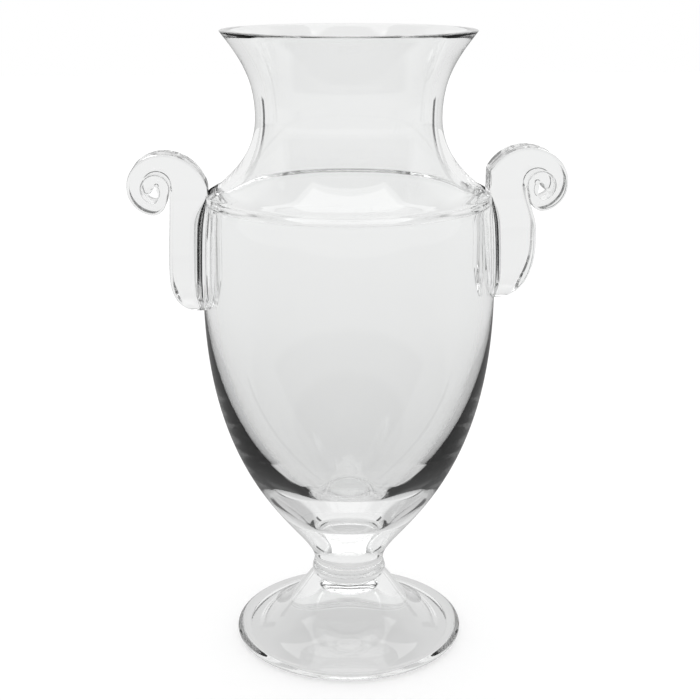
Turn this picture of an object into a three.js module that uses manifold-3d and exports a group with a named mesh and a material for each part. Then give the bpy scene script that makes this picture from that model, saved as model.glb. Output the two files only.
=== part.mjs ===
import * as THREE from 'three';
import { mergeVertices } from 'three/addons/utils/BufferGeometryUtils.js';
import Module from 'manifold-3d';

// Two-handled trophy vase in thick clear glass, blown by mouth and put together hot from five
// gathers: the bowl with its stem, the collar, the hollow foot and two scroll handles.
// Millimetres, +Z up. The axis of the vase is Z, the foot stands on z = 0, the handles lie on X.

// Facets
const turnSteps = 56; // round a revolved piece
const longSteps = 12; // along the sweep of a wall
const curveSteps = 6; // along a middling curve
const roundSteps = 3; // along a small round
const tongueSteps = 11; // up the tongue of a handle
const tongueStart = 0.4; // of a step, from the tongue's tip to its first ring
const coilStep = 15; // degrees from ring to ring of a scroll
const brimTurns = [-50, 0, 48]; // degrees round the edge of the foot's brim
const weldDistance = 1e-5;
const quarterTurn = 90; // degrees

// The seam is the gap that stands for the fused joint between two gathers
const seam = 0.3;

// Heights of the pieces that are stacked on the axis
const footHeight = 39.7;
const collarHeight = 7.7;

// Foot: a low bell on a narrow ground ring, with a round brim
const footRadius = 68.1;
const footTopRadius = 21.2;
const brimRound = 2.3; // radius of the brim's edge
const brimLift = 4.0; // height of the middle of the brim's edge
const brimPull = { in: 25.0, up: 2.6 };
const flankPull = { out: 15.5, down: 19.5 };
const groundRingOuter = 64.0;
const groundRingInner = 60.5;

// The hollow under the foot
const hollowHeight = 29.5;
const hollowCrownRadius = 14.0;
const hollowCrownDrop = 1.0;
const hollowCrownPull = { out: 10.0, down: 6.0 };
const hollowBrimPull = { in: 16.0, up: 7.2 };

// Collar: a flattened button, fullest in its lower half
const collarRadius = 22.0;
const collarFullHeight = 2.4;
const collarPull = 1.6;

// Bowl, outside. Each height is counted from the one before, up from the bowl's seat.
const stemRadius = 20.7;
const stemPull = 21.0;
const bellyHeight = 165.0;
const bellyRadius = 82.8;
const bellyPull = { down: 118.8, up: 35.0 };
const bellyToCorner = 56.3;
const cornerRadius = 79.9;
const cornerPull = { out: 1.0, down: 12.0, up: 4.0, along: 7.8 };
const cornerToShoulder = 7.9;
const shoulderRadius = 70.3;
const shoulderSlope = 42.7; // degrees below level
const shoulderPull = 11.5;
const shoulderToWaist = 36.4;
const waistRadius = 51.6;
const waistPull = { down: 18.0, up: 21.4 };
const waistToMouth = 46.4;
const mouthRadius = 70.3;
const lipPull = { in: 10.3, down: 13.3 };
const lipChamfer = 0.5;

// Bowl, inside. The wall is even from the lip to the belly and then thickens into a solid base.
const mouthLand = 6.6; // width of the cut and polished rim
const waistWall = 5.9;
const shoulderWall = 5.2;
const bellyWall = 6.0;
const innerCornerDrop = 4.4;
const innerCornerPull = 2.4;
const cavityFloor = 39.4; // height of the middle of the cavity's floor above the bowl's seat
const floorRadius = 29.0;
const floorDish = 4.6; // how far the floor's edge stands above its middle
const floorPull = 19.0; // the floor runs on under its edge and swells up again in the middle
const cavityPull = { down: 67.0, up: 16.2, out: 18.4 };

// Handles. Heights run from the ground, reaches from the axis.
const eyeHeight = 275.3;
const eyeReach = 107.2;
const coilRadius = 7.5; // the inner coil that makes the eye
const coilGroove = 0.45; // between the inner coil and the turn round it
const scrollRadius = 14.7; // the outer turn, where it has run down
const scrollDepth = 21.0; // depth of the ribbon at the scroll, along Y
const coilDepth = 18.0;
const ribbonCorner = 3.0;
const seatSink = 7.0; // how far the ribbon runs into the body before its seat is cut
const filletRise = 14.0; // height over which the seat's fillet grows from the tongue's tip
const filletFade = { start: 254.0, end: 273.0 }; // heights where the fillet dies away
const filletLimit = 0.62; // most of the tongue's own thickness that the fillet takes up
const tipLength = 16.0; // length of the tongue's tip, where its depth rounds off
const tipSquareness = 2.4; // how square the tip is across, where 2 is an ellipse
const tuckStart = 262; // degrees of turn where the ribbon tucks in to make the inner coil
const tuckEnd = 335;
const coilThinEnd = 318;
const coilEnd = 585;
const coilTipTurn = 40; // degrees over which the coil's end rounds off
const coilTipBlunt = 5; // degrees by which the rounding runs on beyond the coil's end
const coilTipSquareness = 2.0;
const coilTipDepth = 0.6; // of the coil's depth, left at its very end
const leastUpright = 0.1; // keeps the upright edge's slant finite near a quarter turn

// What is made by hand differs from side to side
const leftHandle = {
  side: -1,
  neckReach: 13.8, // how much further the scroll reaches towards the neck
  swellTurn: 74, // degrees over which that swell dies away
  swellPower: 1.2,
  edgeReach: 77.0, // the ribbon's upright edge on the neck's side
  tongueTip: 204.4,
  tongueFull: 229.0, // from here down the tongue rounds to its tip
  tongueThroat: 230.0, // from here up it draws in to the eye
  tongueReach: 100.6,
  tongueDepth: 28.0, // depth of the ribbon where it lies on the body
  seatFillet: 11.0, // radius in which the tongue's sides run out on the body
  toeSquareness: 2.4, // of the tongue's toe, seen from the side
  eyeHole: 2.4,
};
const rightHandle = {
  side: 1,
  neckReach: 15.8,
  swellTurn: 86,
  swellPower: 1.7,
  edgeReach: 78.6,
  tongueTip: 209.6,
  tongueFull: 242.0,
  tongueThroat: 250.0,
  tongueReach: 104.9,
  tongueDepth: 24.5,
  seatFillet: 8.0,
  toeSquareness: 2.0,
  eyeHole: 3.6,
};

const wasm = await Module();
wasm.setup();

const glass = () => new THREE.MeshStandardMaterial({
  color: 0xf1f4f3, roughness: 0.02, metalness: 0, transparent: true, opacity: 0.35,
});

const point = (radius, height) => new THREE.Vector2(radius, height);
const radians = THREE.MathUtils.degToRad;
const mix = THREE.MathUtils.lerp;
const ease = THREE.MathUtils.smoothstep;

// Points along a cubic curve, without its last one, which starts the next curve
function curve(steps, start, startPull, endPull, end) {
  return new THREE.CubicBezierCurve(start, startPull, endPull, end).getPoints(steps).slice(0, -1);
}

// One vertex for each place, and no triangle that has shrunk to a line
function weld(geometry) {
  geometry.deleteAttribute('normal');
  geometry.deleteAttribute('uv');
  const merged = mergeVertices(geometry, weldDistance);
  const corners = merged.index.array;
  const kept = [];
  for (let i = 0; i < corners.length; i += 3) {
    const [a, b, c] = corners.slice(i, i + 3);
    if (a !== b && b !== c && c !== a) kept.push(a, b, c);
  }
  merged.setIndex(kept);
  return merged;
}

// The profile starts and ends on the axis, and keeps the glass on its left
function revolve(profile) {
  return weld(new THREE.LatheGeometry(profile, turnSteps).rotateX(Math.PI / 2));
}

function toSolid(geometry) {
  return new wasm.Manifold(new wasm.Mesh({
    numProp: 3,
    vertProperties: new Float32Array(geometry.attributes.position.array),
    triVerts: new Uint32Array(geometry.index.array),
  }));
}

function fromSolid(solid) {
  const { vertProperties, triVerts } = solid.getMesh();
  const geometry = new THREE.BufferGeometry();
  geometry.setAttribute('position', new THREE.BufferAttribute(vertProperties, 3));
  geometry.setIndex(new THREE.BufferAttribute(triVerts, 1));
  return geometry;
}

function piece(name, geometry) {
  const shown = geometry.toNonIndexed();
  shown.computeVertexNormals();
  const mesh = new THREE.Mesh(shown, glass());
  mesh.name = name;
  return mesh;
}

// The foot, from the crown of its hollow out to the ground ring, round the brim and up the flank
function footProfile() {
  const crown = point(hollowCrownRadius, hollowHeight - hollowCrownDrop);
  const brimMiddle = point(footRadius - brimRound, brimLift);
  const brimTop = point(brimMiddle.x, brimLift + brimRound);
  const top = point(footTopRadius, footHeight);
  const brim = brimTurns.map((degrees) => point(
    brimMiddle.x + brimRound * Math.cos(radians(degrees)),
    brimMiddle.y + brimRound * Math.sin(radians(degrees)),
  ));
  return [
    point(0, hollowHeight),
    ...curve(
      curveSteps + roundSteps,
      crown,
      point(crown.x + hollowCrownPull.out, crown.y - hollowCrownPull.down),
      point(groundRingInner - hollowBrimPull.in, hollowBrimPull.up),
      point(groundRingInner, 0),
    ),
    point(groundRingInner, 0),
    point(groundRingOuter, 0),
    ...brim,
    ...curve(
      longSteps,
      brimTop,
      point(brimTop.x - brimPull.in, brimTop.y + brimPull.up),
      point(top.x + flankPull.out, top.y - flankPull.down),
      top,
    ),
    top,
    point(0, footHeight),
  ];
}

// The collar, a button as wide below as the foot's top and above as the stem
function collarProfile() {
  const bottom = footHeight + seam;
  const full = bottom + collarFullHeight;
  const top = bottom + collarHeight;
  return [
    point(0, bottom),
    ...curve(
      roundSteps,
      point(footTopRadius, bottom),
      point(collarRadius, bottom),
      point(collarRadius, full - collarPull),
      point(collarRadius, full),
    ),
    ...curve(
      roundSteps,
      point(collarRadius, full),
      point(collarRadius, full + collarPull),
      point(stemRadius, top - collarPull),
      point(stemRadius, top),
    ),
    point(stemRadius, top),
    point(0, top),
  ];
}

// Heights of the bowl from the ground
const seat = footHeight + seam + collarHeight + seam;
const belly = seat + bellyHeight;
const corner = belly + bellyToCorner;
const shoulder = corner + cornerToShoulder;
const waist = shoulder + shoulderToWaist;
const mouth = waist + waistToMouth;

// The shoulder's fall, outwards and down, and the way out of its face
const fall = point(Math.cos(radians(shoulderSlope)), -Math.sin(radians(shoulderSlope)));
const rise = point(-fall.y, fall.x);
const onShoulder = (outwards) => point(shoulderRadius, shoulder).addScaledVector(rise, outwards);

// The neck's line from the shoulder up to the lip, set in or out of the outer face
function neckLine(atShoulder, atWaist, atMouth) {
  const crest = onShoulder(atShoulder);
  const neck = waistRadius + atWaist;
  const lip = point(mouthRadius + atMouth, mouth - lipChamfer);
  return [
    ...curve(
      curveSteps,
      crest,
      crest.clone().addScaledVector(fall, -shoulderPull),
      point(neck, waist - waistPull.down),
      point(neck, waist),
    ),
    ...curve(
      curveSteps,
      point(neck, waist),
      point(neck, waist + waistPull.up),
      point(lip.x - lipPull.in, mouth - lipPull.down),
      lip,
    ),
    lip,
  ];
}

// The bowl's outer face, from the edge of its seat up to the lip, moved out by a clearance
function bowlOutside(clearance) {
  const stem = stemRadius + clearance;
  const full = bellyRadius + clearance;
  const side = cornerRadius + clearance;
  const crest = onShoulder(clearance);
  return [
    ...curve(
      longSteps,
      point(stem, seat),
      point(stem, seat + stemPull),
      point(full, belly - bellyPull.down),
      point(full, belly),
    ),
    ...curve(
      roundSteps,
      point(full, belly),
      point(full, belly + bellyPull.up),
      point(side + cornerPull.out, corner - cornerPull.down),
      point(side, corner),
    ),
    ...curve(
      roundSteps,
      point(side, corner),
      point(side, corner + cornerPull.up),
      crest.clone().addScaledVector(fall, cornerPull.along),
      crest,
    ),
    ...neckLine(clearance, clearance, clearance),
  ];
}

// The bowl's inner face, from the rim down to the middle of the cavity's floor
function bowlInside() {
  const crest = onShoulder(-shoulderWall);
  const side = point(cornerRadius - shoulderWall, corner - innerCornerDrop);
  const full = bellyRadius - bellyWall;
  const floor = seat + cavityFloor;
  const floorEdge = point(floorRadius, floor + floorDish);
  const floorFall = floorPull * (cavityPull.up / cavityPull.out);
  return [
    ...neckLine(-shoulderWall, -waistWall, -mouthLand).reverse(),
    ...curve(
      roundSteps,
      crest,
      crest.clone().addScaledVector(fall, innerCornerPull),
      point(side.x, side.y + innerCornerPull),
      side,
    ).slice(1),
    ...curve(
      roundSteps,
      side,
      point(side.x + cornerPull.out, side.y - cornerPull.down),
      point(full, belly + bellyPull.up),
      point(full, belly),
    ),
    ...curve(
      longSteps,
      point(full, belly),
      point(full, belly - cavityPull.down),
      point(floorEdge.x + cavityPull.out, floorEdge.y + cavityPull.up),
      floorEdge,
    ),
    ...curve(
      curveSteps,
      floorEdge,
      point(floorEdge.x - floorPull, floorEdge.y - floorFall),
      point(floorPull, floor),
      point(0, floor),
    ),
    point(0, floor),
  ];
}

function bowlProfile() {
  return [
    point(0, seat),
    ...bowlOutside(0),
    point(mouthRadius - lipChamfer, mouth),
    point(mouthRadius - mouthLand + lipChamfer, mouth),
    ...bowlInside(),
  ];
}

// What a handle stays clear of: the bowl, filled and grown by the seam
function seatCutter() {
  const outside = bowlOutside(seam);
  return toSolid(revolve([point(0, seat), ...outside, point(0, outside.at(-1).y)]));
}

// A skin over rings of as many points each, closed at both ends
function loft(rings) {
  const steps = rings[0].length;
  const vertices = rings.flat();
  const middle = (ring) => {
    const sum = ring.reduce((total, vertex) => total.add(vertex), new THREE.Vector3());
    return sum.divideScalar(steps);
  };
  const first = vertices.push(middle(rings[0])) - 1;
  const last = vertices.push(middle(rings.at(-1))) - 1;
  const endRing = (rings.length - 1) * steps;
  const index = [];
  for (let k = 0; k < steps; k += 1) {
    const next = (k + 1) % steps;
    index.push(first, next, k, last, endRing + k, endRing + next);
    for (let start = 0; start < endRing; start += steps) {
      const [a, b] = [start + k, start + next];
      index.push(a, b, b + steps, a, b + steps, a + steps);
    }
  }
  const geometry = new THREE.BufferGeometry().setFromPoints(vertices);
  geometry.setIndex(index);
  return geometry;
}

// A rounded edge of a ribbon, as places across its thickness and along its depth
function roundedEdge(thickness, depth) {
  const most = 0.42; // of a side, so that a flat is left between two corners
  const round = Math.min(ribbonCorner, most * thickness, most * depth);
  const edge = [];
  for (let k = 0; k <= roundSteps; k += 1) {
    const turn = radians((quarterTurn * k) / roundSteps);
    edge.push([
      thickness / 2 - round + round * Math.cos(turn),
      depth / 2 - round + round * Math.sin(turn),
    ]);
  }
  return edge;
}

// The same edge where the ribbon is sunk into the bowl's wall: from its back out to the wall, and
// on along a fillet that touches the wall and the ribbon's side
function filletedEdge(thickness, depth, middle, wall, fillet) {
  const along = depth / 2 + fillet;
  const reach = Math.sqrt((wall + fillet) ** 2 - along ** 2);
  const arc = Math.atan2(reach, along);
  const edge = [];
  for (let k = 0; k < roundSteps; k += 1) {
    const turn = (arc * k) / (roundSteps - 1);
    edge.unshift([
      middle - reach + fillet * Math.sin(turn),
      along - fillet * Math.cos(turn),
    ]);
  }
  return [[thickness / 2, edge[0][1]], ...edge];
}

// A ribbon's whole section, from the edge at its back round to the same edge on its other side
function ribbonSection(thickness, depth, backEdge = roundedEdge(thickness, depth)) {
  const frontEdge = roundedEdge(thickness, depth).reverse();
  const half = [...backEdge, ...frontEdge.map(([across, along]) => [-across, along])];
  return [...half, ...[...half].reverse().map(([across, along]) => [across, -along])];
}

// How full a rounded end is, from 0 at its tip to 1 where the rounding stops
function roundOff(share, squareness) {
  const left = 1 - Math.min(1, Math.max(0, share));
  return Math.sqrt(1 - left ** squareness);
}

// Outer and inner radius of the scroll about its eye, after so many degrees of turn
function scroll(handle, turned) {
  const swell = Math.exp(-((turned / handle.swellTurn) ** handle.swellPower));
  const slant = Math.max(Math.cos(radians(turned)), leastUpright);
  const free = scrollRadius + handle.neckReach * swell;
  const upright = (eyeReach - handle.edgeReach) / slant;
  const outer = turned < quarterTurn ? Math.min(free, upright) : free;
  return {
    outer: mix(outer, coilRadius, ease(turned, tuckStart, tuckEnd)),
    inner: mix(coilRadius + coilGroove, handle.eyeHole, ease(turned, tuckStart, coilThinEnd)),
  };
}

// Reach of the tongue's outer face: round at its toe, drawn in beside the eye
function tongueFace(handle, height) {
  const { tongueTip, tongueFull, tongueThroat, tongueReach, toeSquareness } = handle;
  const throatReach = eyeReach - coilRadius - coilGroove;
  const toe = roundOff((height - tongueTip) / (tongueFull - tongueTip), toeSquareness);
  const outer = mix(tongueReach, throatReach, ease(height, tongueThroat, eyeHeight));
  return mix(bellyRadius, outer, toe);
}

// Radius of the bowl's outer face at a height
function wallAt(height) {
  const outside = bowlOutside(0);
  const above = outside.findIndex((corner) => corner.y > height);
  const [low, high] = [outside[above - 1], outside[above]];
  return mix(low.x, high.x, (height - low.y) / (high.y - low.y));
}

// Radius of the fillet beside the tongue, where the tongue stands so thick on the wall
function filletAt(handle, height, thickness) {
  const grown = Math.min(1, (height - handle.tongueTip) / filletRise);
  const left = 1 - ease(height, filletFade.start, filletFade.end);
  return Math.min(handle.seatFillet * grown * left, filletLimit * thickness);
}

// A handle's rings: up the tongue, over the scroll and round into the eye
function handleRings(handle) {
  const rings = [];
  const addRing = (middle, outward, section) => {
    const ring = section.map(([across, along]) => new THREE.Vector3(
      handle.side * (middle.x + outward.x * across),
      along,
      middle.y + outward.y * across,
    ));
    rings.push(handle.side < 0 ? ring : ring.reverse());
  };
  for (let k = 0; k < tongueSteps; k += 1) {
    const climb = 1 - Math.cos(radians((quarterTurn * (k + tongueStart)) / tongueSteps));
    const height = mix(handle.tongueTip, eyeHeight, climb);
    const upper = ease(height, handle.tongueFull, eyeHeight);
    const face = tongueFace(handle, height);
    const back = mix(bellyRadius - seatSink, eyeReach - scroll(handle, 0).outer, upper);
    const full = roundOff((height - handle.tongueTip) / tipLength, tipSquareness);
    const depth = mix(handle.tongueDepth, scrollDepth, upper) * full;
    const middle = (face + back) / 2;
    const wall = wallAt(height);
    const fillet = filletAt(handle, height, face - wall);
    const backEdge = filletedEdge(face - back, depth, middle, wall, fillet);
    const section = ribbonSection(face - back, depth, fillet > 0 ? backEdge : undefined);
    addRing(point(middle, height), point(-1, 0), section);
  }
  for (let turned = 0; turned <= coilEnd; turned += coilStep) {
    const { outer, inner } = scroll(handle, turned);
    const outward = point(-Math.cos(radians(turned)), Math.sin(radians(turned)));
    const middle = point(eyeReach, eyeHeight).addScaledVector(outward, (outer + inner) / 2);
    const full = roundOff((coilEnd + coilTipBlunt - turned) / coilTipTurn, coilTipSquareness);
    const depth = mix(scrollDepth, coilDepth, ease(turned, quarterTurn, tuckEnd));
    const section = ribbonSection((outer - inner) * full, depth * mix(coilTipDepth, 1, full));
    addRing(middle, outward, section);
  }
  return rings;
}

function handleGeometry(handle) {
  return fromSolid(toSolid(loft(handleRings(handle))).subtract(seatCutter()));
}

const vase = new THREE.Group();
vase.add(piece('foot', revolve(footProfile())));
vase.add(piece('collar', revolve(collarProfile())));
vase.add(piece('bowl', revolve(bowlProfile())));
vase.add(piece('handle_left', handleGeometry(leftHandle)));
vase.add(piece('handle_right', handleGeometry(rightHandle)));

export default vase;
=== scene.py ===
# Two-handled trophy vase in thick clear glass. The sections follow the vase as it is put together at
# the furnace. Sizes on the glass are in millimetres, and each mesh is scaled to metres.
from math import atan2, cos, exp, pi, radians, sin, sqrt

import bmesh
import bpy
from mathutils import Matrix, Vector
from mathutils.geometry import interpolate_bezier


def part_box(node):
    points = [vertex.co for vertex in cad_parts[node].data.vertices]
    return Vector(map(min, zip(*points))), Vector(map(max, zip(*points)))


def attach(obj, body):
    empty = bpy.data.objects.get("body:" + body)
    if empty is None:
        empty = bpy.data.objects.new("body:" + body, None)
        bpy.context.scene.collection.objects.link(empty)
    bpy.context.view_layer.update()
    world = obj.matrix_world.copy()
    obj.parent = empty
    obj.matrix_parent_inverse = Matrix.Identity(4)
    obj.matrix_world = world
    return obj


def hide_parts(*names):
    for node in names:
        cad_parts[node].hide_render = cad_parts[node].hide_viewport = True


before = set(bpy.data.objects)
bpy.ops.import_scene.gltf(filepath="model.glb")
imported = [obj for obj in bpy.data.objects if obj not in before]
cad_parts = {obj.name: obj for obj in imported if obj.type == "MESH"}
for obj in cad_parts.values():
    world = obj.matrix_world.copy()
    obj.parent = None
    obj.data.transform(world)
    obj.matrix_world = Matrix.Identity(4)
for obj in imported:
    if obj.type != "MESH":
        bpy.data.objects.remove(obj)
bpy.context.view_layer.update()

# Bowl: one gather of clear glass, blown, and opened with the jacks to its waisted neck and flared
# mouth. The body tapers to a thick solid base, out of which the short stem is drawn. The rim is
# cut level and polished once the glass is cold.
millimetre = 0.001
bowl_low, bowl_high = [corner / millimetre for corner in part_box("bowl")]
stem_end = bowl_low.z
rim = bowl_high.z
belly = stem_end + 165.0
shoulder_corner = belly + 56.3
shoulder = shoulder_corner + 7.9
waist = shoulder + 36.4

stem_radius = 20.7
belly_radius = 82.8
corner_radius = 79.9
shoulder_radius = 70.3
waist_radius = 51.6
mouth_radius = 70.3
shoulder_slope = radians(42.7)

rim_width = 6.6
rim_chamfer = 0.5
rim_bevel = 0.7
rim_bevel_drop = 0.12
waist_wall = 5.9
shoulder_wall = 5.2
belly_wall = 6.0
inner_corner_drop = 4.4
cavity_floor = stem_end + 39.4
cavity_floor_radius = 29.0
cavity_floor_dish = 4.6

# How far each soft curve of the two skins is pulled out from its ends.
stem_pull = 21.0
belly_pull_down = 118.8
belly_pull_up = 35.0
corner_pull_down = (1.0, -12.0)
corner_pull_up = 4.0
crest_pull_down = 7.8
crest_pull_up = 11.5
waist_pull_down = 18.0
waist_pull_up = 21.4
lip_pull = (10.3, 13.3)
inner_corner_pull = 2.4
inner_side_pull = 67.0
floor_edge_pull = (18.4, 16.2)
floor_pull = 19.0

turns = 160
body_steps = 60
corner_steps = 14
neck_steps = 24
inner_corner_steps = 12
floor_steps = 24
same_place = 0.000002


def at(radius, height):
    """A point of a half profile, on the right of the axis."""
    return Vector((radius, 0, height))


def sweep(steps, start, start_pull, end_pull, end):
    """Points along a soft curve, without its end, which starts the next curve."""
    return interpolate_bezier(start, start_pull, end_pull, end, steps + 1)[:-1]


down_shoulder = at(cos(shoulder_slope), -sin(shoulder_slope))
off_shoulder = at(sin(shoulder_slope), cos(shoulder_slope))


def neck_line(off_the_shoulder, off_the_waist, off_the_mouth):
    """The neck from the shoulder up to the rim, set off from the outer skin by these distances."""
    crest = at(shoulder_radius, shoulder) + off_shoulder * off_the_shoulder
    neck = at(waist_radius + off_the_waist, waist)
    lip = at(mouth_radius + off_the_mouth, rim - rim_chamfer)
    up_shoulder = crest - crest_pull_up * down_shoulder
    return [
        *sweep(neck_steps, crest, up_shoulder, neck - at(0, waist_pull_down), neck),
        *sweep(neck_steps, neck, neck + at(0, waist_pull_up), lip - at(*lip_pull), lip),
        lip,
    ]


def outer_skin():
    """The bowl's outside, from the end of the stem to the edge of the rim."""
    stem = at(stem_radius, stem_end)
    side = at(belly_radius, belly)
    corner = at(corner_radius, shoulder_corner)
    crest = at(shoulder_radius, shoulder)
    under_corner = corner + at(*corner_pull_down)
    under_crest = crest + crest_pull_down * down_shoulder
    return [
        *sweep(body_steps, stem, stem + at(0, stem_pull), side - at(0, belly_pull_down), side),
        *sweep(corner_steps, side, side + at(0, belly_pull_up), under_corner, corner),
        *sweep(corner_steps, corner, corner + at(0, corner_pull_up), under_crest, crest),
        *neck_line(0, 0, 0),
    ]


def inner_skin():
    """The cavity, from the inner edge of the rim down to the middle of its floor."""
    crest = at(shoulder_radius, shoulder) - off_shoulder * shoulder_wall
    under_crest = crest + inner_corner_pull * down_shoulder
    corner = at(corner_radius - shoulder_wall, shoulder_corner - inner_corner_drop)
    over_corner = corner + at(0, inner_corner_pull)
    under_corner = corner + at(*corner_pull_down)
    side = at(belly_radius - belly_wall, belly)
    floor_edge = at(cavity_floor_radius, cavity_floor + cavity_floor_dish)
    into_wall = at(*floor_edge_pull)
    under_edge = floor_edge - into_wall * (floor_pull / into_wall.x)
    middle = at(0, cavity_floor)
    return [
        *neck_line(-shoulder_wall, -waist_wall, -rim_width)[::-1],
        *sweep(inner_corner_steps, crest, under_crest, over_corner, corner)[1:],
        *sweep(inner_corner_steps, corner, under_corner, side + at(0, belly_pull_up), side),
        *sweep(body_steps, side, side - at(0, inner_side_pull), floor_edge + into_wall, floor_edge),
        *sweep(floor_steps, floor_edge, under_edge, middle + at(floor_pull, 0), middle),
        middle,
    ]


def cut_rim(outer_edge, inner_edge):
    """The level land of the rim, with its two edges just taken off."""
    return [
        at(outer_edge - rim_bevel / 2, rim - rim_bevel_drop),
        at(outer_edge - rim_bevel, rim),
        at(inner_edge + rim_bevel, rim),
        at(inner_edge + rim_bevel / 2, rim - rim_bevel_drop),
    ]


def spun(name, profile):
    """Spins a half profile that begins and ends on the axis into one closed body of glass."""
    shape = bmesh.new()
    corners = [shape.verts.new(corner * millimetre) for corner in profile]
    lines = [shape.edges.new(pair) for pair in zip(corners, corners[1:])]
    bmesh.ops.spin(
        shape, geom=corners + lines, cent=(0, 0, 0), axis=(0, 0, 1), angle=2 * pi,
        steps=turns, use_merge=True, use_duplicate=False,
    )
    bmesh.ops.remove_doubles(shape, verts=shape.verts, dist=same_place)
    return in_glass(piece_of(name, shape))


def piece_of(name, shape):
    """Puts a finished shape into the scene, with its faces turned outwards and shaded round."""
    bmesh.ops.recalc_face_normals(shape, faces=shape.faces)
    for face in shape.faces:
        face.smooth = True
    mesh = bpy.data.meshes.new(name)
    shape.to_mesh(mesh)
    shape.free()
    piece = bpy.data.objects.new(name, mesh)
    bpy.context.scene.collection.objects.link(piece)
    return piece


def in_glass(piece):
    """Gives the piece its clear glass, and the joint for those of its faces that are fused."""
    piece.data.materials.append(glass)
    piece.data.materials.append(joint)
    return piece


class Value:
    """A value that runs through a finish. Sums on it add their own Math nodes."""

    def __init__(self, finish, socket):
        self.finish = finish
        self.socket = socket

    def math(self, operation, *values, **settings):
        """The result of a new Math node on these values."""
        numbers = dict(enumerate(values))
        return self.finish.add("ShaderNodeMath", {"operation": operation, **settings}, numbers)

    def of(self, name):
        """Another value of the node that this one comes from."""
        return Value(self.finish, self.socket.node.outputs[name])

    def __add__(self, other):
        return self.math("ADD", self, other)

    def __radd__(self, other):
        return self.math("ADD", other, self)

    def __sub__(self, other):
        return self.math("SUBTRACT", self, other)

    def __rsub__(self, other):
        return self.math("SUBTRACT", other, self)

    def __mul__(self, other):
        return self.math("MULTIPLY", self, other)

    def __rmul__(self, other):
        return self.math("MULTIPLY", other, self)

    def __truediv__(self, other):
        return self.math("DIVIDE", self, other)

    def __pow__(self, power):
        return self.math("POWER", self, power)

    def __abs__(self):
        return self.math("ABSOLUTE", self)

    def __gt__(self, other):
        return self.math("GREATER_THAN", self, other)

    def __lt__(self, other):
        return self.math("LESS_THAN", self, other)

    def share(self, low, high):
        """How far the value has come from low, 0, to high, 1."""
        return self.math("DIVIDE", self - low, high - low, use_clamp=True)

    def rising(self, low, high):
        """0 up to low, 1 from high, and a soft step between them."""
        share = self.share(low, high)
        return share * share * (3 - 2 * share)


class Finish:
    """A node tree that is being written."""

    def __init__(self, owner):
        owner.use_nodes = True
        self.tree = owner.node_tree
        self.tree.nodes.clear()

    def add(self, kind, settings=None, sockets=None):
        """Adds a node, sets its settings, then gives each socket its number, colour or link."""
        node = self.tree.nodes.new(kind)
        for name, setting in (settings or {}).items():
            setattr(node, name, setting)
        for name, value in (sockets or {}).items():
            if isinstance(value, Value):
                self.tree.links.new(value.socket, node.inputs[name])
            else:
                node.inputs[name].default_value = value
        return Value(self, node.outputs[0]) if node.outputs else None

    def places(self):
        """Where a point of the glass lies, along X, Y and Z, in millimetres."""
        place = self.add("ShaderNodeTexCoord").of("Object")
        apart = self.add("ShaderNodeSeparateXYZ", sockets={"Vector": place})
        return [apart.of(axis) / millimetre for axis in "XYZ"]


glass_bend = 1.5
waver_scale = 16.0
cord_scale = (6.0, 6.0, 90.0)
cord_height = 0.12
cord_roughness = 0.006
skin_relief = 0.00008
cool_tint = (0.985, 0.992, 0.989, 1)
clear_tint = (0.998, 1.0, 0.999, 1)


def clear_melt(finish):
    """The melt: colourless, fire polished, with the slow waver and the faint cords of hand work."""
    place = finish.add("ShaderNodeTexCoord").of("Object")
    waver = finish.add(
        "ShaderNodeTexNoise", sockets={"Vector": place, "Scale": waver_scale, "Detail": 1.0},
    )
    drawn = finish.add(
        "ShaderNodeMapping", {"vector_type": "POINT"}, {"Vector": place, "Scale": cord_scale},
    )
    cords = finish.add("ShaderNodeTexNoise", sockets={"Vector": drawn, "Scale": 1.0, "Detail": 2.0})
    skin = finish.add(
        "ShaderNodeBump",
        sockets={"Height": waver + cord_height * cords, "Strength": 1.0, "Distance": skin_relief},
    )
    tint = finish.add(
        "ShaderNodeMix", {"data_type": "RGBA"}, {"Factor": waver, "A": cool_tint, "B": clear_tint},
    )
    tint = Value(finish, tint.socket.node.outputs["Result"])
    return finish.add("ShaderNodeBsdfPrincipled", sockets={
        "Base Color": tint,
        "Roughness": cord_roughness * cords,
        "IOR": glass_bend,
        "Transmission Weight": 1.0,
        "Normal": skin,
    })


def clear_glass():
    """The clear glass of all five pieces."""
    clear = bpy.data.materials.new("clear_glass")
    finish = Finish(clear)
    finish.add("ShaderNodeOutputMaterial", sockets={"Surface": clear_melt(finish)})
    return clear


def fused_joint():
    """Where two gathers were joined hot there is no surface, and light goes straight on."""
    fused = bpy.data.materials.new("fused_joint")
    finish = Finish(fused)
    through = finish.add("ShaderNodeBsdfTransparent")
    finish.add("ShaderNodeOutputMaterial", sockets={"Surface": through})
    return fused


glass = clear_glass()
joint = fused_joint()
joint_slot = 1
level_slack = 0.05
level_normal = 0.99


def fuse_level_ends(piece, heights):
    """Gives the level ends at these heights, where the next gather is fused on, the joint."""
    for face in piece.data.polygons:
        near = min(abs(face.center.z / millimetre - height) for height in heights)
        if near < level_slack and abs(face.normal.z) > level_normal:
            face.material_index = joint_slot
            face.use_smooth = False


def take_place_of(piece, node):
    """The piece stands for the solid of that name, hides it, and rides with the root body."""
    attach(piece, "root")
    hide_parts(node)


def bowl_profile():
    """The half profile of the bowl: up its outside, over the rim, and down into the cavity."""
    land = cut_rim(mouth_radius, mouth_radius - rim_width)
    return [at(0, stem_end), *outer_skin(), *land, *inner_skin()]


bowl = spun("bowl_glass", bowl_profile())
fuse_level_ends(bowl, [stem_end])
take_place_of(bowl, "bowl")

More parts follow.
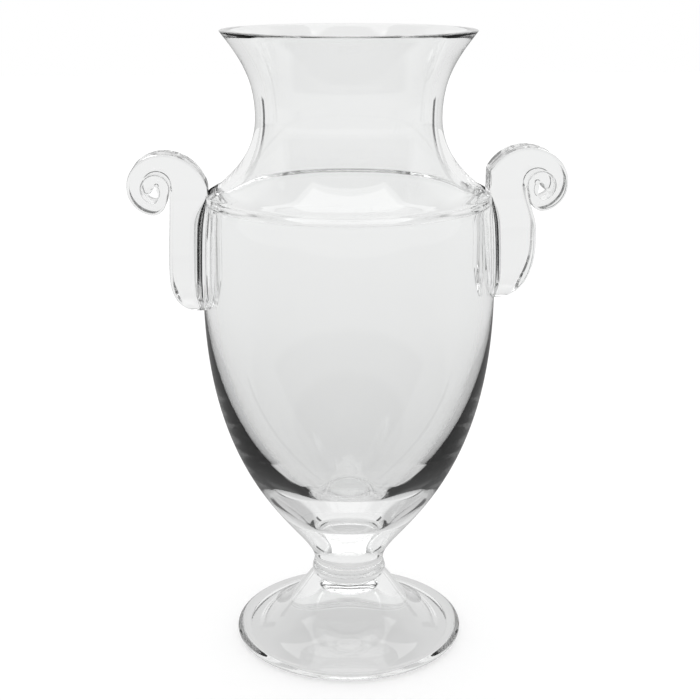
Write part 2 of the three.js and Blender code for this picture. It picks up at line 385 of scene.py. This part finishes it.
# Collar: a small gather dropped on the end of the stem and pressed to a button, fullest in its lower
# half. It stiffens the stem where the foot is joined, and both of its ends are fused.
collar_low, collar_high = [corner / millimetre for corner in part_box("collar")]
foot_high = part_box("foot")[1] / millimetre
foot_top = (foot_high.z + collar_low.z) / 2
foot_top_radius = 21.2
collar_radius = collar_high.x
collar_full = foot_top + 2.4
collar_pull = 1.6
collar_steps = 8


def collar_profile():
    """The half profile of the collar, from its seat on the foot up to the stem."""
    foot_end = at(foot_top_radius, foot_top)
    full = at(collar_radius, collar_full)
    stem = at(stem_radius, stem_end)
    pull = at(0, collar_pull)
    lower = sweep(collar_steps, foot_end, at(collar_radius, foot_top), full - pull, full)
    upper = sweep(collar_steps, full, full + pull, stem - pull, stem)
    return [at(0, foot_top), *lower, *upper, stem, at(0, stem_end)]


collar = spun("collar_glass", collar_profile())
fuse_level_ends(collar, [foot_top, stem_end])
take_place_of(collar, "collar")

# Foot: a gather that is opened and spun out to a low bell, hollow underneath. Its brim is thick and
# round from the fire, and it stands on a narrow ground ring.
foot_radius = foot_high.x
brim_round = 2.3
brim_lift = 4.0
ring_outer = 64.0
ring_inner = 60.5
hollow_height = 29.5
hollow_crown = 14.0
hollow_crown_drop = 1.0
crown_pull = (10.0, -6.0)
ring_pull = (-16.0, 7.2)
brim_pull = (-25.0, 2.6)
foot_top_pull = (15.5, -19.5)
brim_turns = range(-62, 90, 12)
hollow_steps = 40
spread_steps = 60


def foot_profile():
    """The half profile of the foot: down the hollow, over the ring and brim, and up the bell."""
    brim = at(foot_radius - brim_round, brim_lift)
    brim_top = brim + at(0, brim_round)
    top = at(foot_top_radius, foot_top)
    crown = at(hollow_crown, hollow_height - hollow_crown_drop)
    ring = at(ring_inner, 0)
    edge_turns = [radians(degrees) for degrees in brim_turns]
    return [
        at(0, hollow_height),
        at(hollow_crown / 2, hollow_height - hollow_crown_drop / 4),
        *sweep(hollow_steps, crown, crown + at(*crown_pull), ring + at(*ring_pull), ring),
        ring,
        at(ring_outer, 0),
        *[brim + at(cos(turn), sin(turn)) * brim_round for turn in edge_turns],
        *sweep(spread_steps, brim_top, brim_top + at(*brim_pull), top + at(*foot_top_pull), top),
        top,
        at(0, foot_top),
    ]


foot = spun("foot_glass", foot_profile())
fuse_level_ends(foot, [foot_top])
take_place_of(foot, "foot")

# Handles: two bars of hot glass, drawn flat. Each is laid with its tongue down the side of the bowl,
# carried up over the shoulder's corner and curled in to a scroll with a small closed eye. They are
# made by eye, so the left one and the right one differ.
eye_height = 275.3
eye_reach = 107.2
coil_radius = 7.5
coil_groove = 0.45
scroll_radius = 14.7
scroll_depth = 21.0
coil_depth = 18.0
ribbon_corner = 1.8
coil_corner = 0.7
corner_share = 0.42
tip_length = 16.0
tip_squareness = 2.4
seat_sink = 7.0
fillet_rise = 14.0
fillet_fade = (254.0, 273.0)
fillet_bedding = 0.15
fillet_limit = 0.62
upright, tuck_start, thin_end, tuck_end, coil_end = 90, 262, 318, 335, 585
coil_tip_turn, coil_tip_over = 40, 1.5
coil_tip_depth = 0.6
tongue_slices = 40
first_slice = 0.25
scroll_step = 4
corner_slices, fillet_slices = 6, 5
left_handle = {
    "side": -1, "neck_reach": 13.8, "swell_turn": 74, "swell_power": 1.2, "edge_reach": 77.0,
    "tip": 204.4, "full": 229.0, "throat": 230.0, "reach": 100.6, "squareness": 2.4, "hole": 1.0,
    "depth": 28.0, "fillet": 11.0,
}
right_handle = {
    "side": 1, "neck_reach": 15.8, "swell_turn": 86, "swell_power": 1.7, "edge_reach": 78.6,
    "tip": 209.6, "full": 242.0, "throat": 250.0, "reach": 104.9, "squareness": 2.0, "hole": 1.3,
    "depth": 24.5, "fillet": 8.0,
}


def mixed(low, high, share):
    """The value that lies this share of the way from low to high."""
    return low + (high - low) * share


def eased(value, low, high):
    """0 up to low, 1 from high, and a soft step between them, in plain numbers."""
    share = min(1, max(0, (value - low) / (high - low)))
    return share * share * (3 - 2 * share)


def rounded_off(share, squareness):
    """Grows from 0 at the tip to 1, as the edge of an ellipse does."""
    return sqrt(1 - (1 - min(1, max(0, share))) ** squareness)


def scroll_radii(handle, turned):
    """How far the scroll's outer and inner faces lie from its eye after so many degrees."""
    swell = exp(-((turned / handle["swell_turn"]) ** handle["swell_power"]))
    outer = scroll_radius + handle["neck_reach"] * swell
    if turned < upright:
        outer = min(outer, (eye_reach - handle["edge_reach"]) / cos(radians(turned)))
    outer = mixed(outer, coil_radius, eased(turned, tuck_start, tuck_end))
    inner = mixed(coil_radius + coil_groove, handle["hole"], eased(turned, tuck_start, thin_end))
    return outer, inner


def arc(middle, radius, start, end, steps):
    """Points of an arc, across the ribbon and along its depth."""
    turns = [mixed(start, end, step / steps) for step in range(steps + 1)]
    return [middle + radius * Vector((cos(turn), sin(turn))) for turn in turns]


def round_edge(thickness, depth, corner=ribbon_corner):
    """A round edge of the ribbon, from its face to its side."""
    corner = min(corner, corner_share * thickness, corner_share * depth)
    middle = Vector((thickness / 2 - corner, depth / 2 - corner))
    return arc(middle, corner, 0, pi / 2, corner_slices)


def wall_at(height):
    """How far the wall of the bowl reaches at this height."""
    line = outer_skin()
    above = next(index for index, corner in enumerate(line) if corner.z > height)
    low, high = line[above - 1], line[above]
    return low.lerp(high, (height - low.z) / (high.z - low.z)).x


def fillet_edge(thickness, depth, middle, wall, fillet):
    """An edge that is bedded in the wall, and runs out on it in a fillet from the ribbon's side."""
    along = depth / 2 + fillet
    reach = sqrt((wall + fillet) ** 2 - along ** 2)
    turn = -atan2(along, reach)
    edge = arc(Vector((middle - reach, along)), fillet, turn, -pi / 2, fillet_slices)
    return [Vector((thickness / 2, edge[0].y)), *edge]


def add_section(shape, back_edge, front_edge, middle, across):
    """Adds a slice of the ribbon, the same on both sides, where its middle lies."""
    side = [*back_edge, *[Vector((-place.x, place.y)) for place in reversed(front_edge)]]
    outline = [*side, *[Vector((place.x, -place.y)) for place in reversed(side)]]
    return shape.faces.new(
        [shape.verts.new(middle + across * x + Vector((0, y, 0))) for x, y in outline],
    )


def tongue_sections(shape, handle):
    """Level slices up the tongue, from its tip to the height of the eye."""
    for step in range(tongue_slices):
        share = 1 - cos(pi / 2 * (step + first_slice) / tongue_slices)
        height = mixed(handle["tip"], eye_height, share)
        climbed = height - handle["tip"]
        upper = eased(height, handle["full"], eye_height)
        throat = mixed(
            handle["reach"], eye_reach - coil_radius - coil_groove,
            eased(height, handle["throat"], eye_height),
        )
        toe = rounded_off(climbed / (handle["full"] - handle["tip"]), handle["squareness"])
        face = mixed(belly_radius, throat, toe)
        back = mixed(belly_radius - seat_sink, eye_reach - scroll_radii(handle, 0)[0], upper)
        tip = rounded_off(climbed / tip_length, tip_squareness)
        depth = mixed(handle["depth"], scroll_depth, upper) * tip
        middle = (face + back) / 2
        wall = wall_at(height)
        grown = min(1, climbed / fillet_rise) * (1 - eased(height, *fillet_fade))
        fillet = min(handle["fillet"] * grown, fillet_limit * (face - wall))
        edge = front_edge = round_edge(face - back, depth)
        if fillet > 0:
            edge = fillet_edge(face - back, depth, middle, wall - fillet_bedding, fillet)
        place = Vector((handle["side"] * middle, 0, height))
        yield add_section(shape, edge, front_edge, place, Vector((-handle["side"], 0, 0)))


def scroll_sections(shape, handle):
    """Slices round the eye, over the top and down the outside, then in round the small coil."""
    for turned in range(0, coil_end + 1, scroll_step):
        outer, inner = scroll_radii(handle, turned)
        full = rounded_off((coil_end + coil_tip_over - turned) / coil_tip_turn, 2)
        depth = mixed(scroll_depth, coil_depth, eased(turned, upright, tuck_end))
        depth = depth * mixed(coil_tip_depth, 1, full)
        across = Vector((-handle["side"] * cos(radians(turned)), 0, sin(radians(turned))))
        middle = Vector((handle["side"] * eye_reach, 0, eye_height)) + across * (outer + inner) / 2
        thickness = (outer - inner) * full
        pressed = mixed(ribbon_corner, coil_corner, eased(turned, tuck_start, tuck_end))
        outer_edge = round_edge(thickness, depth, pressed)
        inner_edge = round_edge(thickness, depth, coil_corner)
        yield add_section(shape, outer_edge, inner_edge, middle, across)


def scroll_handle(name, handle):
    """Bridges the slices of a handle to one ribbon, which still reaches into the bowl's wall."""
    shape = bmesh.new()
    sections = [*tongue_sections(shape, handle), *scroll_sections(shape, handle)]
    loops = [list(section.edges) for section in sections]
    bmesh.ops.delete(shape, geom=sections[1:-1], context="FACES_ONLY")
    for first, second in zip(loops, loops[1:]):
        bmesh.ops.bridge_loops(shape, edges=first + second)
    bmesh.ops.scale(shape, verts=shape.verts, vec=(millimetre,) * 3)
    bmesh.ops.remove_doubles(shape, verts=shape.verts, dist=same_place)
    return in_glass(piece_of(name, shape))


def cut_seat(ribbon, cutter):
    """Takes the bowl's space out of the ribbon. What the cut leaves is the fused seat."""
    seat = ribbon.modifiers.new("seat", "BOOLEAN")
    seat.operation = "DIFFERENCE"
    seat.solver = "EXACT"
    seat.material_mode = "INDEX"
    seat.object = cutter
    seen = bpy.context.evaluated_depsgraph_get()
    cut = bpy.data.meshes.new_from_object(ribbon.evaluated_get(seen))
    ribbon.modifiers.clear()
    ribbon.data = cut
    shape = bmesh.new()
    shape.from_mesh(cut)
    for edge in shape.edges:
        edge.smooth = len({face.material_index for face in edge.link_faces}) == 1
    shape.to_mesh(cut)
    shape.free()
    flats = ribbon.modifiers.new("flats", "WEIGHTED_NORMAL")
    flats.keep_sharp = True


full_bowl = spun("full_bowl", [at(0, stem_end), *outer_skin(), at(0, rim - rim_chamfer)])
for face in full_bowl.data.polygons:
    face.material_index = joint_slot
for name, handle in {"handle_left": left_handle, "handle_right": right_handle}.items():
    ribbon = scroll_handle(name + "_glass", handle)
    cut_seat(ribbon, full_bowl)
    take_place_of(ribbon, name)
bpy.data.objects.remove(full_bowl)

# The bowl's own wall is opened to the light under each seat, within a patch that holds the seat.
seated_slot = 2
seat_margin = 4
patch_reach, patch_half, patch_low, patch_high = 66, 28, 200, 280
patch_wall, patch_wall_top, patch_wall_slope = 78.5, 269, 1.1


def handle_seats(finish):
    """1 where a handle's seat covers the wall of the bowl, 0 where the wall is bare."""
    along, across, height = finish.places()
    seats = 0
    for handle in (left_handle, right_handle):
        upper = height.rising(handle["full"], eye_height)
        tip = 1 - (1 - height.share(handle["tip"], handle["tip"] + tip_length)) ** tip_squareness
        half = (handle["depth"] + (scroll_depth - handle["depth"]) * upper) / 2 * tip ** 0.5
        grown = height.share(handle["tip"], handle["tip"] + fillet_rise)
        fillet = handle["fillet"] * grown * (1 - height.rising(*fillet_fade))
        half = (half + fillet) * belly_radius / (belly_radius + fillet)
        half = half - (2 * fillet_bedding * fillet) ** 0.5
        reach = handle["edge_reach"] - seat_margin
        seat = (abs(across) < half) * (along * handle["side"] > reach)
        seats = seats + seat * (height > handle["tip"])
    return seats


def seated_glass():
    """The bowl's glass round the handles, open to the light where the handles are fused on."""
    seated = bpy.data.materials.new("seated_glass")
    finish = Finish(seated)
    through = finish.add("ShaderNodeBsdfTransparent")
    seats = handle_seats(finish)
    parts = {0: seats, 1: clear_melt(finish), 2: through}
    both = finish.add("ShaderNodeMixShader", sockets=parts)
    finish.add("ShaderNodeOutputMaterial", sockets={"Surface": both})
    return seated


bowl.data.materials.append(seated_glass())
for face in bowl.data.polygons:
    spot = face.center / millimetre
    outside = face.normal.xy.dot(spot.xy) > 0
    wall = spot.xy.length > patch_wall - patch_wall_slope * max(0, spot.z - patch_wall_top)
    beside = abs(spot.x) > patch_reach and abs(spot.y) < patch_half
    if outside and wall and beside and patch_low < spot.z < patch_high:
        face.material_index = seated_slot

# Studio: a pale floor, pale walls behind and beside the vase, a soft box overhead, an unlit half in
# front, and two narrow dark cards. Clear glass shows what is round it: floor and walls give it its
# pale body, the unlit half and the cards its dark lines. To the eye, floor and backdrop are white.
front_turn = radians(3.5)
degree = pi / 180
back_wall, side_wall, unlit = 0.9, 0.6, 0.01
back_ceiling, front_ceiling = 0.5, 0.06
box_light = 1.6
card_dark = 0.9

# Where each part begins and where it is in full, in degrees round about from the back or upwards.
side_turn, wall_white = (35, 60), (25, 60)
unlit_turn, unlit_low, unlit_high = (93, 97), (6, 9), (55, 65)
ceiling_low, ceiling_turn = (38, 46), (60, 90)
card_near, card_far, card_top = (40, 41), (46, 47), (20, 22)

# The edges of the soft box, as shares of its height above the vase, and how low it is looked for.
box_sides, box_front, box_back = (0.46, 0.5), (-0.3, -0.26), (0.86, 0.9)
least_up, box_low = 0.05, 0.1


def ahead_and_aside(east, north):
    """The same place counted from the front of the vase, which is turned a little."""
    ahead = east * sin(front_turn) + north * cos(front_turn)
    aside = east * cos(front_turn) - north * sin(front_turn)
    return ahead, aside


def from_back(ahead, aside):
    """How many degrees round about a direction lies from straight behind the vase."""
    return abs(aside.math("ARCTAN2", aside, ahead)) / degree


def on_card(round_about):
    """1 in the directions of the two dark cards, which draw the thin lines of the neck."""
    return round_about.rising(*card_near) * (1 - round_about.rising(*card_far))


def studio_light():
    """What the glass sees round it, by the direction in which its light leaves."""
    studio = bpy.data.worlds.new("studio")
    finish = Finish(studio)
    direction = finish.add("ShaderNodeTexCoord").of("Generated")
    apart = finish.add("ShaderNodeSeparateXYZ", sockets={"Vector": direction})
    east, north, up = [apart.of(axis) for axis in "XYZ"]
    ahead, aside = ahead_and_aside(east, north)
    round_about = from_back(ahead, aside)
    height = up.math("ARCSINE", up) / degree
    walls = back_wall + (side_wall - back_wall) * round_about.rising(*side_turn)
    walls = walls + (1 - walls) * height.rising(*wall_white)
    walls = walls * (1 - card_dark * on_card(round_about) * (1 - height.rising(*card_top)))
    front = round_about.rising(*unlit_turn) * height.rising(*unlit_low)
    walls = walls + (unlit - walls) * front * (1 - height.rising(*unlit_high))
    ceiling = back_ceiling + (front_ceiling - back_ceiling) * round_about.rising(*ceiling_turn)
    light = walls + (ceiling - walls) * height.rising(*ceiling_low)
    over = up.math("MAXIMUM", up, least_up)
    across, along = abs(aside / over), ahead / over
    box = along.rising(*box_front) * (1 - along.rising(*box_back))
    box = box * (1 - across.rising(*box_sides)) * (up > box_low)
    light = light + box_light * box
    seen_in_glass = finish.add("ShaderNodeBackground", sockets={"Color": light})
    plain_white = finish.add("ShaderNodeBackground", sockets={"Color": (1, 1, 1, 1)})
    ray = finish.add("ShaderNodeLightPath")
    bare = ray.math("MAXIMUM", ray.of("Is Camera Ray"), ray.of("Is Diffuse Ray"))
    both = finish.add("ShaderNodeMixShader", sockets={0: bare, 1: seen_in_glass, 2: plain_white})
    finish.add("ShaderNodeOutputWorld", sockets={"Surface": both})
    return studio


# The floor as the glass sees it glows with painted light, by the distance in metres from the vase:
# how pale it is far off, how much painted shadow darkens it close to the vase, how much painted
# shade darkens it towards the front, and how much it dims in what the outer skin of the glass
# mirrors.
floor_pale, painted_vase_shadow, shade_length = 0.92, 0.3, 0.4
painted_front_shade, front_share, front_away, front_blur = 0.4, (-0.3, 0.6), (0.1, 0.5), 0.3
painted_reflection_dim, gloss_away = 0.7, (0.06, 0.2)
card_away = (1.4, 1.6)
floor_paint = (0.5, 0.5, 0.5, 1)
floor_white = (0.55, 0.55, 0.55, 1)


def pale_floor():
    """White to the eye, with the vase's shadow. The glass sees it glow, with painted shade."""
    pale = bpy.data.materials.new("pale_floor")
    finish = Finish(pale)
    place = finish.add("ShaderNodeTexCoord").of("Object")
    away = finish.add("ShaderNodeVectorMath", {"operation": "LENGTH"}, {0: place}).of("Value")
    apart = finish.add("ShaderNodeSeparateXYZ", sockets={"Vector": place})
    ahead, aside = ahead_and_aside(apart.of("X"), apart.of("Y"))
    # Painted shadow: the glowing floor is darker close to the vase, in place of the vase's shadow.
    painted_floor_light = floor_pale - painted_vase_shadow * away.math("EXPONENT", away / -shade_length)
    # Painted shade: the glowing floor is darker towards the front of the vase.
    front = 1 - (ahead / (away + front_blur)).rising(*front_share)
    painted_floor_light = painted_floor_light * (1 - painted_front_shade * front * away.rising(*front_away))
    ray = finish.add("ShaderNodeLightPath")
    # Painted shade in reflections: the floor is darker where the glass's outer skin mirrors it.
    painted_floor_light = painted_floor_light * (1 - painted_reflection_dim * ray.of("Is Reflection Ray") * away.rising(*gloss_away))
    # Painted dark bands: the floor far off is darkened in the directions of the two dark cards.
    card = on_card(from_back(ahead, aside)) * away.rising(*card_away)
    painted_floor_light = painted_floor_light * (1 - card_dark * card)
    # What the glass sees of the floor is an emission: it glows with this painted light and shade.
    seen_in_glass = finish.add("ShaderNodeEmission", sockets={"Color": painted_floor_light})
    paint = finish.add("ShaderNodeBsdfDiffuse", sockets={"Color": floor_paint})
    white = finish.add("ShaderNodeEmission", sockets={"Color": floor_white})
    bare = finish.add("ShaderNodeAddShader", sockets={0: paint, 1: white})
    parts = {0: ray.of("Is Camera Ray"), 1: seen_in_glass, 2: bare}
    both = finish.add("ShaderNodeMixShader", sockets=parts)
    finish.add("ShaderNodeOutputMaterial", sockets={"Surface": both})
    return pale


floor_reach = 4.0
floor_drop = 0.0001
ground = bmesh.new()
bmesh.ops.create_grid(ground, x_segments=1, y_segments=1, size=floor_reach)
bmesh.ops.translate(ground, verts=ground.verts, vec=(0, 0, -floor_drop))
floor = piece_of("floor", ground)
floor.data.materials.append(pale_floor())
bpy.context.scene.world = studio_light()
bpy.context.scene.view_settings.view_transform = "Standard"

# Light crosses many skins of thick glass before it comes out, so its paths are long.
longest_path = 24
for kind in ("max_bounces", "transmission_bounces", "glossy_bounces", "transparent_max_bounces"):
    setattr(bpy.context.scene.cycles, kind, longest_path)

# Camera: it stands a little to the left of the front, above the rim, and looks down on the vase.
# Its lens is counted from the photograph's own focal length and width, both in pixels.
camera_away = 0.7326
camera_height = 0.3971
camera_aside = 0.0007
camera_tilt = radians(16.6)
photo_focus = 1316
photo_width = 700
film_width = 36
ahead = Vector((sin(front_turn), cos(front_turn), 0))
aside = Vector((cos(front_turn), -sin(front_turn), 0))
view = ahead * cos(camera_tilt) - Vector((0, 0, sin(camera_tilt)))
lens = bpy.data.cameras.new("camera")
lens.sensor_width = film_width
lens.lens = film_width * photo_focus / photo_width
camera = bpy.data.objects.new("camera", lens)
bpy.context.scene.collection.objects.link(camera)
stand = aside * camera_aside - ahead * camera_away + Vector((0, 0, camera_height))
facing = Matrix((aside, aside.cross(view), -view)).transposed()
camera.matrix_world = Matrix.Translation(stand) @ facing.to_4x4()
bpy.context.scene.camera = camera
